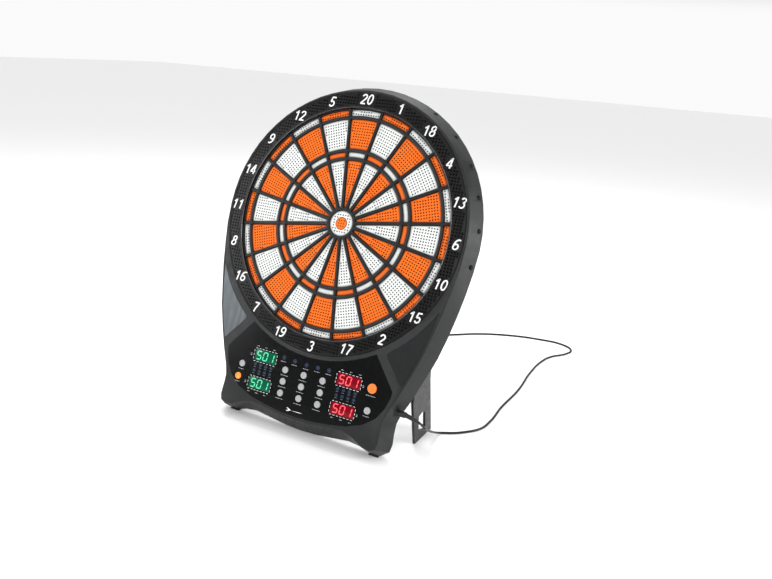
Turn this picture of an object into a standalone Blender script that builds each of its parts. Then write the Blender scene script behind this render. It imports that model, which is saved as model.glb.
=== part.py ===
"""Electronic dartboard standing on two fold-out legs, with its mains adapter, cord and plug.

Sizes are in millimetres and the helpers turn them into metres. The board's pieces are drawn in board
coordinates: x across, y up the board, z out of its face, with the bull at the origin and z = 0 on top of
the spider. An empty named board_frame leans them back. The cord, the adapter and the rubber feet are
drawn in floor coordinates, with z = 0 on the floor and the bull above x = 0, y = 0.
"""

from math import asin, atan2, cos, degrees, hypot, pi, radians, sin

import bmesh
import bpy
from mathutils import Matrix, Vector

MM = 0.001

# Turns: a flat outline's x, y and height to y, z and x, and a lathe's axis from z to x
ALONG_X = Matrix(((0, 0, 1, 0), (1, 0, 0, 0), (0, 1, 0, 0), (0, 0, 0, 1)))
ACROSS = Matrix(((0, 0, 1, 0), (0, 1, 0, 0), (-1, 0, 0, 0), (0, 0, 0, 1)))

# The board on the floor
LEAN = 20.0
BULL_HEIGHT = 305.0
BULL_FORWARD = 4.2

# Playing surface: radii of the spider's rings, and the width of its walls
NUMBERS = (20, 1, 18, 4, 13, 6, 10, 15, 2, 17, 3, 19, 7, 16, 8, 11, 14, 9, 12, 5)
SECTOR = 360.0 / len(NUMBERS)
BULL_RING = 21.5
TREBLE_IN = 97.0
TREBLE_OUT = 109.4
DOUBLE_IN = 159.0
SPIDER_R = 172.2
WALL = 4.4
SPIDER_DEPTH = 8.0
KEY_GAP = 0.4
KEY_TOP = -2.6
KEY_BOTTOM = -10.2
FLANGE_TOP = -8.5
KEY_TRAVEL = 1.2
INNER_BULL_R = 8.7
OUTER_BULL_IN = 9.5
OUTER_BULL_R = 19.0
MEMBRANE_TOP = KEY_BOTTOM - KEY_TRAVEL - 0.5
MEMBRANE = 1.0
MAT_TOP = -13.2
MAT_BOTTOM = -19.0
STACK_R = 172.0
RIB_R = 110.0

# Catch ring that carries the numbers
RING_IN = 172.6
RING_OUT = 195.5
FACE = 3.5
OPENING_R = 196.0

# Casing: a front outline, a flared rear outline, and the depths they are at
FRONT_R = 200.3
REAR_R = 210.8
SHELL = 2.5
COVER = 2.2
SPLIT = -23.5
BACK = -30.3
ARC_STEP = 6.0
FRONT_SIDE = (
    (199.2, -31.8), (194.8, -63.6), (189.5, -95.4), (182.5, -127.2), (175.1, -159.0), (164.5, -190.8),
    (152.7, -222.6), (142.2, -246.5), (137.2, -262.3), (137.4, -277.0), (138.6, -292.0), (136.0, -302.0),
    (127.0, -306.5), (114.0, -304.0), (98.0, -296.5), (80.0, -291.0), (55.0, -293.0), (28.0, -296.5),
    (0.0, -297.5),
)
REAR_SIDE = (
    (209.0, -31.8), (205.3, -63.6), (200.2, -95.4), (193.8, -127.2), (185.8, -159.0), (175.3, -190.8),
    (163.2, -222.6), (152.2, -246.5), (147.2, -262.3), (147.2, -277.0), (148.6, -292.0), (146.5, -304.0),
    (134.0, -313.2), (116.0, -313.0), (100.0, -308.6), (82.0, -306.6), (56.0, -309.8), (28.0, -313.0),
    (0.0, -314.0),
)

# Loudspeaker inside the rear cover, behind its sound holes
SPEAKER = (62.0, -246.0, BACK + COVER + 0.3)

# Control panel
PLATE_IN = FACE - SHELL
RECESS = 2.7
OVERLAY_TOP = 3.8
OVERLAY_ARC = 202.5
OVERLAY_CORNER = (107.0, -174.0)
OVERLAY_SIDE = (
    (142.0, -217.0), (141.5, -226.0), (136.0, -243.0), (126.0, -259.0), (108.0, -273.0), (84.0, -282.0),
    (55.0, -287.5), (28.0, -290.8), (0.0, -292.0),
)
INSERT_ARC = 207.0
INSERT_TIP = (183.5, -96.0)
INSERT_INNER = (122.5, -167.5)
INSERT_SIDE = (
    (178.3, -127.0), (170.8, -159.0), (160.4, -190.8), (155.2, -203.5), (154.3, -207.0), (152.0, -206.0),
    (123.0, -172.0),
)
DISPLAY_X = 72.8
DISPLAY_ROWS = (-219.8, -262.0)
DISPLAY_SIZE = (39.8, 18.3)
BUTTON_COLUMNS = (-33.4, -0.8, 31.8)
BUTTON_ROWS = (-229.8, -247.2, -264.7)
SMALL_BUTTON = 5.0
LARGE_BUTTON = 7.0
BUTTON_GAP = 0.4
BUTTON_TOP = 5.2
BUTTON_TRAVEL = 1.0
PAD_TOP = -3.4
BOARD_TOP = -5.7
BOARD_THICK = 1.6
PANEL_CENTRE = (0.0, -245.5)
PANEL_SIZE = (244.0, 74.0)

# Holes in the casing's side: six darts on each side, and the power jack
DART_ANGLES = (60.0, 46.5, 33.0, 20.0, 7.0, -7.0)
DART_HOLE_R = 4.2
DART_HOLE_Z = -16.0
JACK = (148.0, -245.0, -13.0)

# Screws through the top of the rear cover into bosses
SCREWS = {"left": 110.0, "right": 70.0}
SCREW_R = 201.3

# Legs: plates across the board that swing inwards about pins parallel to the board's height
LEG_X = 157.0
LEG_Z = -36.0
LEG_MID = -170.0
LEG_THICK = 4.0
KNUCKLE_R = 4.2
KNUCKLE_HALF = 33.4
LUG_LENGTH = 8.0
PIN_R = 1.8
PIN_HOLE_R = 2.1
LEG_OUTLINE = (
    (-33.4, -4.8), (-33.4, 1.0), (33.4, 1.0), (33.4, -5.0), (28.0, -17.0), (18.0, -29.0), (2.0, -40.0),
    (-25.0, -52.3), (-104.0, -102.8), (-123.9, -48.2), (-59.7, -4.8),
)
LEG_SLOT = ((-75.5, -61.6), (-102.5, -77.0), (-103.5, -51.0), (-82.0, -39.8), (-75.0, -50.0))

# Rubber feet under the casing's low rear corners
FOOT_X = 124.0

# Cord, plug and adapter, in floor coordinates
CORD_R = 1.8
CORD_LIE = 1.9
CORD_STEP = 13.0
PLUG_END = (180.0, -67.5, 63.5)
CORD_ROUTE = (
    (181.6, -66.8, 62.3), (185.2, -63.8, 58.3), (187.2, -58.5, 52.3), (186.5, -50.8, 46.2), (184.5, -38.1, 38.4),
    (180.8, -17.2, 26.0), (177.3, 0.2, 16.1), (175.6, 17.0, 7.0), (178.0, 28.0, 2.4), (184.5, 33.2, CORD_LIE),
    (193.0, 38.5, CORD_LIE), (208.9, 53.2, CORD_LIE), (225.0, 77.0, CORD_LIE), (229.5, 106.0, CORD_LIE),
    (228.0, 167.0, CORD_LIE),
    (231.0, 246.0, CORD_LIE), (226.0, 338.0, CORD_LIE), (228.0, 398.0, CORD_LIE), (237.0, 436.0, CORD_LIE),
    (258.0, 470.0, CORD_LIE), (262.0, 497.0, CORD_LIE), (240.0, 516.0, CORD_LIE), (190.0, 515.0, CORD_LIE),
    (130.0, 497.0, CORD_LIE), (76.0, 466.0, CORD_LIE), (36.0, 430.0, CORD_LIE), (6.0, 400.0, CORD_LIE),
    (-12.0, 380.0, CORD_LIE), (-28.2, 367.6, CORD_LIE),
)
COIL_CENTRE = (-25.0, 340.0)
COIL_R = 21.5
COIL_HALF_WIDTH = 4.3
COIL_HEIGHT = 11.2
ADAPTER = (-48.5, 258.0)
ADAPTER_SIZE = (42.0, 66.0, 28.0)
RELIEF_LENGTH = 33.4


# ---------------------------------------------------------------- outlines


def polar(radius, angle):
    return radius * cos(radians(angle)), radius * sin(radians(angle))


def circle(radius, sides, centre=(0.0, 0.0)):
    points = (polar(radius, 360.0 * step / sides) for step in range(sides))
    return [(centre[0] + x, centre[1] + y) for x, y in points]


def rectangle(centre, size):
    half_x, half_y = size[0] / 2, size[1] / 2
    signs = ((-1, -1), (1, -1), (1, 1), (-1, 1))
    return [(centre[0] + sx * half_x, centre[1] + sy * half_y) for sx, sy in signs]


def whole(half):
    """A closed outline from its right half, which runs clockwise from the top to the bottom of x = 0."""
    left = [(-x, y) for x, y in reversed(half) if abs(x) > 1e-6]
    return list(half) + left


def casing_outline(radius, side):
    steps = int(90.0 / ARC_STEP)
    arc = [polar(radius, 90.0 - ARC_STEP * step) for step in range(steps + 1)]
    return whole([(0.0, radius)] + arc[1:] + list(side))


def inset(outline, distance):
    """The clockwise outline with each of its sides moved inwards."""
    points = [Vector(point) for point in outline]
    normals = []
    for start, end in zip(points, points[1:] + points[:1]):
        along = (end - start).normalized()
        normals.append(Vector((along.y, -along.x)))
    moved_points = []
    for index, point in enumerate(points):
        before, after = normals[index - 1], normals[index]
        shift = (before + after) * distance / (1.0 + before.dot(after))
        moved_points.append(tuple(point + shift))
    return moved_points


def grown(outline):
    """The outline grown by the fitting gap, whichever way it runs."""
    area = sum(a[0] * b[1] - b[0] * a[1] for a, b in zip(outline, outline[1:] + outline[:1]))
    return inset(outline, 0.35 if area > 0 else -0.35)


def arc_between(radius, start, end, steps):
    """Points on a circle about the bull, from the angle of one point to the angle of another."""
    first, last = (degrees(atan2(y, x)) for x, y in (start, end))
    return [polar(radius, first + (last - first) * step / steps) for step in range(steps + 1)]


def overlay_outline():
    half = arc_between(OVERLAY_ARC, (0.0, -1.0), OVERLAY_CORNER, 6) + list(OVERLAY_SIDE)
    return half + [(-x, y) for x, y in reversed(half[1:-1])]


def insert_outline(side):
    points = arc_between(INSERT_ARC, INSERT_INNER, INSERT_TIP, 6) + list(INSERT_SIDE)
    return [(side * x, y) for x, y in points]


def cell(inner, outer, spread, steps):
    """The outline between two radii and two parallel-sided walls, whose half width is spread."""
    points = []
    for radius, order in ((inner, 1), (outer, -1)):
        half = SECTOR / 2 - degrees(asin(spread / radius))
        for step in range(steps + 1):
            points.append(polar(radius, 90.0 + order * half * (2.0 * step / steps - 1.0)))
    return points


BANDS = (
    (BULL_RING, TREBLE_IN, 2), (TREBLE_IN, TREBLE_OUT, 2), (TREBLE_OUT, DOUBLE_IN, 3),
    (DOUBLE_IN, SPIDER_R + WALL / 2 - 1.4, 3),
)


def bed_outlines(gap):
    """The four cells of one number, from the bull outwards, each smaller all round by gap."""
    wall = WALL / 2 + gap
    return [cell(inner + wall, outer - wall, wall, steps) for inner, outer, steps in BANDS]


def turned_about_bull(outline, angle):
    c, s = cos(radians(angle)), sin(radians(angle))
    return [(x * c - y * s, x * s + y * c) for x, y in outline]


def smooth(route, spacing):
    """Evenly spaced points on a Catmull-Rom curve through the route's points."""
    ends = [route[0]] + list(route) + [route[-1]]
    nodes = [Vector(point) for point in ends]
    fine = []
    for a, b, c, d in zip(nodes, nodes[1:], nodes[2:], nodes[3:]):
        for step in range(40):
            t = step / 40.0
            fine.append(
                0.5 * (2 * b + (c - a) * t + (2 * a - 5 * b + 4 * c - d) * t**2 + (3 * b - a - 3 * c + d) * t**3)
            )
    fine.append(nodes[-1])
    lengths = [0.0]
    for before, after in zip(fine, fine[1:]):
        lengths.append(lengths[-1] + (after - before).length)
    count = max(2, round(lengths[-1] / spacing))
    points = []
    index = 0
    for step in range(count + 1):
        target = lengths[-1] * step / count
        while index < len(fine) - 2 and lengths[index + 1] < target:
            index += 1
        share = (target - lengths[index]) / (lengths[index + 1] - lengths[index])
        points.append(fine[index].lerp(fine[index + 1], share))
    return points


# ---------------------------------------------------------------- scene and objects


def clear_scene():
    for obj in list(bpy.data.objects):
        bpy.data.objects.remove(obj)


def collection(name):
    made = bpy.data.collections.new(name)
    bpy.context.scene.collection.children.link(made)
    return made


clear_scene()
PARTS = collection("electronic_dartboard")
CUTTERS = collection("cutters")


def empty(name, location, parent=None, turn=0.0):
    made = bpy.data.objects.new(name, None)
    made.location = [value * MM for value in location]
    made.rotation_euler.x = radians(turn)
    made.parent = parent
    PARTS.objects.link(made)
    return made


FLOOR = empty("floor_frame", (0.0, BULL_FORWARD, 0.0))
BOARD = empty("board_frame", (0.0, 0.0, BULL_HEIGHT), FLOOR, 90.0 - LEAN)


def material(name, colour, roughness, metallic=0.0):
    made = bpy.data.materials.new(name)
    made.use_nodes = True
    shader = made.node_tree.nodes["Principled BSDF"]
    shader.inputs["Base Color"].default_value = (*colour, 1.0)
    shader.inputs["Roughness"].default_value = roughness
    shader.inputs["Metallic"].default_value = metallic
    return made


MATERIALS = {
    "casing": material("casing", (0.028, 0.030, 0.031), 0.45),
    "ring": material("ring", (0.006, 0.006, 0.007), 0.30),
    "spider": material("spider", (0.035, 0.037, 0.038), 0.50),
    "orange_key": material("orange_key", (0.91, 0.16, 0.01), 0.40),
    "white_key": material("white_key", (0.78, 0.80, 0.78), 0.40),
    "overlay": material("overlay", (0.010, 0.011, 0.012), 0.15),
    "accent": material("accent", (0.13, 0.15, 0.16), 0.30, 0.6),
    "grey_button": material("grey_button", (0.50, 0.50, 0.50), 0.40),
    "orange_button": material("orange_button", (0.95, 0.25, 0.04), 0.35),
    "green_display": material("green_display", (0.0, 0.15, 0.06), 0.20),
    "red_display": material("red_display", (0.30, 0.0, 0.01), 0.20),
    "rubber": material("rubber", (0.02, 0.02, 0.02), 0.80),
    "foam": material("foam", (0.05, 0.05, 0.05), 0.95),
    "film": material("film", (0.55, 0.60, 0.62), 0.35),
    "circuit": material("circuit", (0.02, 0.14, 0.05), 0.45),
    "black_plastic": material("black_plastic", (0.012, 0.012, 0.012), 0.40),
    "steel": material("steel", (0.60, 0.60, 0.60), 0.30, 1.0),
    "cord": material("cord", (0.008, 0.008, 0.008), 0.50),
}


def add(name, mesh, slot, parent=BOARD, location=(0.0, 0.0, 0.0)):
    """A visible object with its own slot's material."""
    made = bpy.data.objects.new(name, mesh)
    if not mesh.materials:
        mesh.materials.append(MATERIALS[slot])
    made.parent = parent
    made.location = [value * MM for value in location]
    PARTS.objects.link(made)
    return made


def helper(name, mesh):
    """A shape that cuts or joins another, drawn in board coordinates and left out of the model."""
    made = bpy.data.objects.new(name, mesh)
    made.parent = BOARD
    made.hide_render = True
    made.display_type = "WIRE"
    CUTTERS.objects.link(made)
    return made


def boolean(target, other, operation="DIFFERENCE"):
    modifier = target.modifiers.new(other.name, "BOOLEAN")
    modifier.operation = operation
    modifier.object = other


def round_shaded(mesh, angle=35.0):
    mesh.shade_smooth()
    mesh.set_sharp_from_angle(angle=radians(angle))
    return mesh


def slab_mesh(name, outlines, low, high):
    """Flat outlines made into solids between two heights. An outline inside another is a hole in it."""
    curve = bpy.data.curves.new(name, "CURVE")
    curve.dimensions = "2D"
    curve.fill_mode = "BOTH"
    curve.extrude = (high - low) / 2 * MM
    for outline in outlines:
        spline = curve.splines.new("POLY")
        spline.points.add(len(outline) - 1)
        for point, (x, y) in zip(spline.points, outline):
            point.co = (x * MM, y * MM, 0.0, 1.0)
        spline.use_cyclic_u = True
    drawn = bpy.data.objects.new(name, curve)
    PARTS.objects.link(drawn)
    graph = bpy.context.evaluated_depsgraph_get()
    mesh = bpy.data.meshes.new_from_object(drawn.evaluated_get(graph))
    bpy.data.objects.remove(drawn)
    bpy.data.curves.remove(curve)
    shape = bmesh.new()
    shape.from_mesh(mesh)
    bmesh.ops.remove_doubles(shape, verts=shape.verts, dist=1e-6)
    bmesh.ops.recalc_face_normals(shape, faces=shape.faces)
    bmesh.ops.translate(shape, verts=shape.verts, vec=(0.0, 0.0, (low + high) / 2 * MM))
    shape.to_mesh(mesh)
    shape.free()
    return mesh


def slab(name, outlines, low, high, slot):
    return add(name, slab_mesh(name, outlines, low, high), slot)


def joined(name, meshes):
    """One mesh that holds several separate solids."""
    shape = bmesh.new()
    for mesh in meshes:
        shape.from_mesh(mesh)
    made = bpy.data.meshes.new(name)
    shape.to_mesh(made)
    shape.free()
    return made


def moved(mesh, matrix):
    mesh.transform(matrix)
    return mesh


def rod(radius, start, end, sides=16, far_radius=None):
    """A cylinder or a cone between two points, in millimetres."""
    a, b = Vector(start) * MM, Vector(end) * MM
    shape = bmesh.new()
    bmesh.ops.create_cone(
        shape,
        cap_ends=True,
        segments=sides,
        radius1=radius * MM,
        radius2=(radius if far_radius is None else far_radius) * MM,
        depth=(b - a).length,
    )
    turn = Vector((0.0, 0.0, 1.0)).rotation_difference(b - a).to_matrix().to_4x4()
    bmesh.ops.transform(shape, matrix=Matrix.Translation((a + b) / 2) @ turn, verts=shape.verts)
    mesh = bpy.data.meshes.new("rod")
    shape.to_mesh(mesh)
    shape.free()
    return mesh


def block(centre, size):
    shape = bmesh.new()
    bmesh.ops.create_cube(shape, size=1.0)
    bmesh.ops.scale(shape, vec=[value * MM for value in size], verts=shape.verts)
    bmesh.ops.translate(shape, vec=[value * MM for value in centre], verts=shape.verts)
    mesh = bpy.data.meshes.new("block")
    shape.to_mesh(mesh)
    shape.free()
    return mesh


def turned(name, profile, steps, slot, closed=False, parent=BOARD, location=(0.0, 0.0, 0.0)):
    """A profile of (radius, height), running down its outer side, turned about z."""
    mesh = bpy.data.meshes.new(name)
    last = len(profile) if closed else len(profile) - 1
    edges = [(index, (index + 1) % len(profile)) for index in range(last)]
    mesh.from_pydata([(r * MM, 0.0, z * MM) for r, z in profile], edges, [])
    made = add(name, mesh, slot, parent, location)
    screw = made.modifiers.new("turn", "SCREW")
    screw.steps = steps
    screw.render_steps = steps
    screw.use_merge_vertices = True
    screw.merge_threshold = 0.00001
    screw.use_smooth_shade = True
    return made


# ---------------------------------------------------------------- playing surface


def make_spider():
    outlines = [circle(SPIDER_R, 60), circle(OUTER_BULL_R + KEY_GAP, 24)]
    for index in range(len(NUMBERS)):
        outlines += [turned_about_bull(outline, -SECTOR * index) for outline in bed_outlines(0.0)]
    slab("spider", outlines, -SPIDER_DEPTH, 0.0, "spider")


def united(name, first, second):
    """One mesh from two that overlap."""
    pair = [bpy.data.objects.new(f"{name}_{index}", mesh) for index, mesh in enumerate((first, second))]
    for obj in pair:
        CUTTERS.objects.link(obj)
    boolean(pair[0], pair[1], "UNION")
    graph = bpy.context.evaluated_depsgraph_get()
    mesh = bpy.data.meshes.new_from_object(pair[0].evaluated_get(graph))
    for obj in pair:
        bpy.data.objects.remove(obj)
    return mesh


def bed_mesh(name, single, ringed):
    """The keys of one number on the flange that holds them under the spider: two singles, treble, double."""
    keys = slab_mesh(f"{name}_keys", bed_outlines(KEY_GAP), FLANGE_TOP - 0.6, KEY_TOP)
    flange = [cell(BULL_RING + 3.2, SPIDER_R - 1.8, 0.6, 2)]
    mesh = united(name, keys, slab_mesh(f"{name}_flange", flange, KEY_BOTTOM, FLANGE_TOP))
    mesh.materials.append(MATERIALS[single])
    mesh.materials.append(MATERIALS[ringed])
    for face in mesh.polygons:
        radius = face.center.xy.length / MM
        in_treble = TREBLE_IN < radius < TREBLE_OUT
        face.material_index = int(in_treble or radius > DOUBLE_IN)
    return mesh


def make_keys():
    meshes = (
        bed_mesh("bed_orange", "orange_key", "white_key"),
        bed_mesh("bed_white", "white_key", "orange_key"),
    )
    for index, number in enumerate(NUMBERS):
        key = add(f"bed_{number}", meshes[index % 2], "orange_key")
        key.rotation_euler.z = radians(-SECTOR * index)
    rings = [circle(OUTER_BULL_R, 24), circle(OUTER_BULL_IN, 24)]
    slab("bull_outer", rings, KEY_BOTTOM, KEY_TOP, "white_key")
    slab("bull_inner", [circle(INNER_BULL_R, 20)], KEY_BOTTOM, KEY_TOP + 0.4, "orange_key")


def make_stack():
    slab("sensor_membrane", [circle(STACK_R, 60)], MEMBRANE_TOP - MEMBRANE, MEMBRANE_TOP, "film")
    slab("backing_mat", [circle(STACK_R, 60)], MAT_BOTTOM, MAT_TOP, "foam")


def make_catch_ring():
    skirt = 2.0
    profile = (
        (RING_OUT, FACE), (RING_OUT, FACE - 6.5), (RING_OUT - skirt, FACE - 6.5), (RING_OUT - skirt, FACE - skirt),
        (RING_IN + skirt, FACE - skirt), (RING_IN + skirt, -SPIDER_DEPTH), (RING_IN, -SPIDER_DEPTH), (RING_IN, FACE),
    )
    turned("catch_ring", profile, 60, "ring", closed=True)


# ---------------------------------------------------------------- casing


def shell(name, rings, thickness, slot):
    """A tray lofted through (outline, height) rings, closed over the first one, and thickened inwards."""
    shape = bmesh.new()
    rows = [[shape.verts.new((x * MM, y * MM, z * MM)) for x, y in outline] for outline, z in rings]
    shape.faces.new(rows[0])
    for upper, lower in zip(rows, rows[1:]):
        for index in range(len(upper)):
            after = (index + 1) % len(upper)
            shape.faces.new((upper[index], upper[after], lower[after], lower[index]))
    bmesh.ops.recalc_face_normals(shape, faces=shape.faces)
    shape.normal_update()
    outwards = rings[0][1] > rings[-1][1]
    cap = min(shape.faces, key=lambda face: abs(len(face.verts) - len(rows[0])))
    if (cap.normal.z > 0) != outwards:
        bmesh.ops.reverse_faces(shape, faces=shape.faces)
    mesh = bpy.data.meshes.new(name)
    shape.to_mesh(mesh)
    shape.free()
    made = add(name, mesh, slot)
    solid = made.modifiers.new("thickness", "SOLIDIFY")
    solid.thickness = thickness * MM
    solid.offset = -1.0
    solid.use_even_offset = True
    return made


def screw_rods(radius, low, high):
    places = [polar(SCREW_R, angle) for angle in SCREWS.values()]
    return [rod(radius, (x, y, low), (x, y, high), 10) for x, y in places]


def button_places():
    """(name, x, y, radius, slot) of each button, row by row, then the two at each side."""
    rows = ("upper", "middle", "lower")
    columns = ("left", "centre", "right")
    found = [
        (f"button_{row}_{column}", x, y, SMALL_BUTTON, "grey_button")
        for row, y in zip(rows, BUTTON_ROWS)
        for column, x in zip(columns, BUTTON_COLUMNS)
    ]
    return found + [
        ("button_side_left", -110.5, -238.5, SMALL_BUTTON, "grey_button"),
        ("button_power", -112.9, -258.4, SMALL_BUTTON, "orange_button"),
        ("button_start", 111.3, -220.2, LARGE_BUTTON, "orange_button"),
        ("button_side_right", 111.3, -252.0, SMALL_BUTTON, "grey_button"),
    ]


def panel_holes(extra):
    """Outlines of the display windows and the button holes; extra widens the windows."""
    width, height = DISPLAY_SIZE
    windows = [
        rectangle((side * DISPLAY_X, y), (width + extra, height + extra)) for side in (-1, 1) for y in DISPLAY_ROWS
    ]
    return windows + [circle(r + BUTTON_GAP, 12, (x, y)) for _, x, y, r, _ in button_places()]


def side_holes():
    """Cutters for the dart holes, which run out square to the rim, and for the power jack."""
    cutters = []
    for angle in DART_ANGLES:
        for bearing in (angle, 180.0 - angle):
            near, far = polar(190.0, bearing), polar(225.0, bearing)
            cutters.append(rod(DART_HOLE_R, (*near, DART_HOLE_Z), (*far, DART_HOLE_Z), 10))
    x, y, z = JACK
    cutters.append(rod(4.9, (x - 15.0, y, z), (x + 15.0, y, z), 12))
    return cutters


def make_front_housing():
    front = casing_outline(FRONT_R, FRONT_SIDE)
    rear = casing_outline(REAR_R, REAR_SIDE)
    rings = (
        (inset(front, 3.0), FACE), (inset(front, 0.9), FACE - 0.9), (front, FACE - 3.0), (rear, SPLIT + 1.2),
        (rear, SPLIT),
    )
    housing = shell("front_housing", rings, SHELL, "casing")
    bosses = screw_rods(3.2, BACK + COVER + 0.3, -11.0)
    boolean(housing, helper("front_bosses", joined("front_bosses", bosses)), "UNION")
    boolean(housing, helper("ring_opening", rod(OPENING_R, (0, 0, -9.0), (0, 0, 9.0), 72)))
    recesses = [overlay_outline(), insert_outline(1), insert_outline(-1)]
    boolean(housing, helper("panel_recesses", slab_mesh("recess", [grown(o) for o in recesses], RECESS, 9.0)))
    boolean(housing, helper("panel_openings", slab_mesh("openings", panel_holes(0.6), -2.0, 9.0)))
    boolean(housing, helper("side_openings", joined("side_openings", side_holes())))
    pilots = screw_rods(1.7, BACK - 10.0, -14.0)
    boolean(housing, helper("screw_pilots", joined("screw_pilots", pilots)))


def display_module(side):
    """A display block: two raised faces on one base, with the icons' lamps between them."""
    width, height = DISPLAY_SIZE
    low, high = DISPLAY_ROWS[1] - height / 2, DISPLAY_ROWS[0] + height / 2
    x, y = side * DISPLAY_X, (low + high) / 2
    base = slab_mesh("base", [rectangle((x, y), (width, high - low))], BOARD_TOP + 0.3, PLATE_IN - 0.5)
    faces = [rectangle((x, row), (width - 1.0, height - 1.0)) for row in DISPLAY_ROWS]
    return united("display", base, slab_mesh("faces", faces, BOARD_TOP + 2.0, RECESS - 0.1))


def make_panel():
    outlines = [overlay_outline()] + panel_holes(-1.6)
    slab("panel_overlay", outlines, RECESS + 0.3, OVERLAY_TOP, "overlay")
    for side, place, slot in ((-1, "left", "green_display"), (1, "right", "red_display")):
        slab(f"accent_{place}", [insert_outline(side)], RECESS + 0.3, OVERLAY_TOP, "accent")
        add(f"display_{place}", display_module(side), slot)
    board = rectangle(PANEL_CENTRE, PANEL_SIZE)
    slab("main_board", [board], BOARD_TOP - BOARD_THICK, BOARD_TOP, "circuit")
    width, height = DISPLAY_SIZE
    middle, span = sum(DISPLAY_ROWS) / 2, DISPLAY_ROWS[0] - DISPLAY_ROWS[1] + height
    windows = [rectangle((side * DISPLAY_X, middle), (width + 0.8, span + 0.8)) for side in (-1, 1)]
    slab("button_mat", [board] + windows, BOARD_TOP + 0.3, PAD_TOP, "rubber")


def make_buttons():
    for name, x, y, radius, slot in button_places():
        profile = (
            (0.0, BUTTON_TOP), (radius - 1.0, BUTTON_TOP - 0.1), (radius, BUTTON_TOP - 0.9), (radius, 0.6),
            (radius + 1.2, 0.6), (radius + 1.2, -1.0), (0.0, PAD_TOP + BUTTON_TRAVEL + 0.3),
        )
        turned(name, profile, 12, slot, location=(x, y, 0.0))


# ---------------------------------------------------------------- rear cover, legs and feet


def keyhole(side):
    """Outline of a hanging hole: a round mouth for a screw's head, and a narrow slot above it."""
    x, y = 60.0 * side, 128.0
    slot, mouth, rise = 2.6, 5.2, 14.0
    turn = degrees(asin(slot / mouth))
    low = [(x + px, y + py) for px, py in (polar(mouth, 90.0 + turn + step * 30.0) for step in range(11))]
    return low + [(x + slot, y + rise), (x + 1.3, y + rise + 2.2), (x - 1.3, y + rise + 2.2), (x - slot, y + rise)]


def lug_shapes():
    """Round lugs on webs that hold the ends of the leg pins."""
    made = []
    reach = KNUCKLE_HALF + 0.5 + LUG_LENGTH / 2
    for side in (-1, 1):
        for end in (-1, 1):
            x, y = side * LEG_X, LEG_MID + end * reach
            ends = (y - LUG_LENGTH / 2, y + LUG_LENGTH / 2)
            made.append(rod(4.4, (x, ends[0], LEG_Z), (x, ends[1], LEG_Z), 12))
    return made


def web_shapes():
    made = []
    reach = KNUCKLE_HALF + 0.5 + LUG_LENGTH / 2
    height = abs(LEG_Z - BACK) + 1.0
    for side in (-1, 1):
        for end in (-1, 1):
            centre = (side * LEG_X, LEG_MID + end * reach, LEG_Z + height / 2)
            made.append(block(centre, (7.6, LUG_LENGTH, height)))
    return made


def support_rib():
    """A round rib inside the cover that the backing mat rests on."""
    low, high = BACK + COVER - 1.0, MAT_BOTTOM - 0.3
    outlines = [circle(RIB_R, 30), circle(RIB_R - COVER, 30)]
    return slab_mesh("support_rib", outlines, low, high)


def cover_holes():
    outlines = [keyhole(-1), keyhole(1)]
    outlines += [circle(1.8, 8, polar(SCREW_R, angle)) for angle in SCREWS.values()]
    centre = SPEAKER[:2]
    outlines += [circle(2.0, 8, place) for place in [centre] + circle(7.5, 6, centre)]
    return slab_mesh("cover_holes", outlines, BACK - 4.0, BACK + 4.0)


def make_rear_cover():
    rear = casing_outline(REAR_R, REAR_SIDE)
    start = SPLIT - 0.3
    rings = ((inset(rear, 6.5), BACK), (inset(rear, 2.2), BACK + 1.9), (rear, start - 1.2), (rear, start))
    cover = shell("rear_cover", rings, COVER, "casing")
    boolean(cover, helper("leg_webs", joined("leg_webs", web_shapes())), "UNION")
    boolean(cover, helper("leg_lugs", joined("leg_lugs", lug_shapes())), "UNION")
    boolean(cover, helper("support_rib", support_rib()), "UNION")
    boolean(cover, helper("cover_holes", cover_holes()))
    pins = [rod(PIN_HOLE_R, (side * LEG_X, -240.0, LEG_Z), (side * LEG_X, -100.0, LEG_Z), 12) for side in (-1, 1)]
    boolean(cover, helper("pin_holes", joined("pin_holes", pins)))


def leg_mesh():
    """A leg about its own hinge axis: a slotted plate and the knuckle that the pin runs through."""
    return moved(slab_mesh("leg", [LEG_OUTLINE, LEG_SLOT], -LEG_THICK / 2, LEG_THICK / 2), ALONG_X)


def make_legs():
    """Each leg turns on two stub pins, which snap into the lugs."""
    plate = leg_mesh()
    reach = KNUCKLE_HALF + LUG_LENGTH - 0.5
    knuckle = rod(KNUCKLE_R, (0, -KNUCKLE_HALF, 0), (0, KNUCKLE_HALF, 0), 14)
    pins = rod(PIN_R, (0, -reach, 0), (0, reach, 0), 12)
    for side, name in ((-1, "leg_left"), (1, "leg_right")):
        leg = add(name, plate.copy(), "black_plastic", location=(side * LEG_X, LEG_MID, LEG_Z))
        for shape, mesh in (("knuckle", knuckle), ("pins", pins)):
            other = helper(f"{name}_{shape}", mesh)
            other.location = leg.location
            boolean(leg, other, "UNION")


def make_screws():
    profile = ((0.0, BACK - 1.9), (2.5, BACK - 1.9), (2.9, BACK - 0.3), (1.3, BACK - 0.3), (1.3, -15.5), (0.0, -15.5))
    for side, angle in SCREWS.items():
        turned(f"cover_screw_{side}", profile[::-1], 10, "steel", location=(*polar(SCREW_R, angle), 0.0))


def on_floor(x, y, z):
    """Board coordinates turned into floor coordinates."""
    lean = radians(LEAN)
    return x, y * sin(lean) - z * cos(lean), y * cos(lean) + z * sin(lean) + BULL_HEIGHT


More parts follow.
